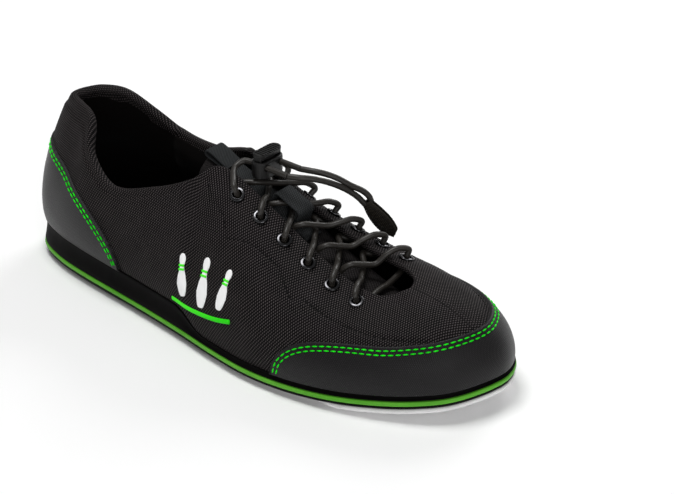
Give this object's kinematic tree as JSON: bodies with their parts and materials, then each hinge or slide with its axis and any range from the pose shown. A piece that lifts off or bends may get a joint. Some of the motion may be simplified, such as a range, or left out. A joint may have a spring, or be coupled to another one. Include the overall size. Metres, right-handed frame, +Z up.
{
  "type": "bowling shoe",
  "caption": "Low bowling shoe for the right foot with a knit mesh upper, woven toe cap and heel overlay, elastic lacing held by a sliding cord lock, and a slide sole.",
  "frame": {"origin": "on the floor, under the middle of the shoe's bounding box", "axes": "+X towards the toe, +Y towards the inner side of the right foot, +Z up"},
  "size_m": [0.3002, 0.106, 0.0971],
  "materials": {
    "mesh": "open knit mesh, matt",
    "overlay": "dense woven overlay, matt",
    "lining": "brushed textile, matt",
    "foam": "open foam, matt",
    "board": "fibre board, matt",
    "stiffener": "moulded, matt",
    "rubber": "moulded, matt",
    "welt": "moulded, satin",
    "slide": "short-napped microfibre",
    "webbing": "ribbed webbing, matt",
    "cord": "braided elastic, slight sheen",
    "eyelet": "black enamel, glossy",
    "lock": "moulded, satin",
    "spring": "drawn wire"
  },
  "bodies": {
    "shoe": {"slide_pad": "slide", "heel_pad": "rubber", "outsole": "rubber", "welt": "welt", "midsole": "rubber", "shank": "stiffener", "insole_board": "board", "sock_liner": "lining", "mesh_upper": "mesh", "toe_cap": "overlay", "heel_overlay": "overlay", "heel_counter": "stiffener", "toe_puff": "stiffener", "eyestay_lateral": "overlay", "eyestay_medial": "overlay", "collar_foam": "foam", "vamp_lining": "lining", "quarter_lining": "lining", "tongue_shell": "overlay", "tongue_foam": "foam", "tongue_lining": "lining", "pull_loop": "webbing", "lace_keeper": "webbing", "lace": "cord", "eyelet_lateral_1": "eyelet", "eyelet_lateral_2": "eyelet", "eyelet_lateral_3": "eyelet", "eyelet_lateral_4": "eyelet", "eyelet_lateral_5": "eyelet", "eyelet_lateral_6": "eyelet", "eyelet_medial_1": "eyelet", "eyelet_medial_2": "eyelet", "eyelet_medial_3": "eyelet", "eyelet_medial_4": "eyelet", "eyelet_medial_5": "eyelet", "eyelet_medial_6": "eyelet"},
    "lock": {"lock_body": "lock", "lock_spring": "spring"},
    "button": {"lock_button": "lock"},
    "pull_tab": {"tail_near": "cord", "tail_far": "cord", "tab_front": "webbing", "tab_back": "webbing"}
  },
  "joints": [
    {"name": "lock_slide", "type": "slide", "parent": "shoe", "child": "lock", "axis": [1, 0, 0], "range_m": [0, 0.012]},
    {"name": "button_press", "type": "slide", "parent": "lock", "child": "button", "axis": [0, 0, -1], "range_m": [0, 0.002], "stiffness_N_per_m": 400, "springref_m": -0.004, "deforming": ["lock_spring"]},
    {"name": "tab_lift", "type": "hinge", "parent": "shoe", "child": "pull_tab", "pos_m": [0.018, 0.0071, 0.0911], "axis": [0, -1, 0], "range_deg": [0, 60], "stiffness_Nm_per_rad": 0.01}
  ]
}
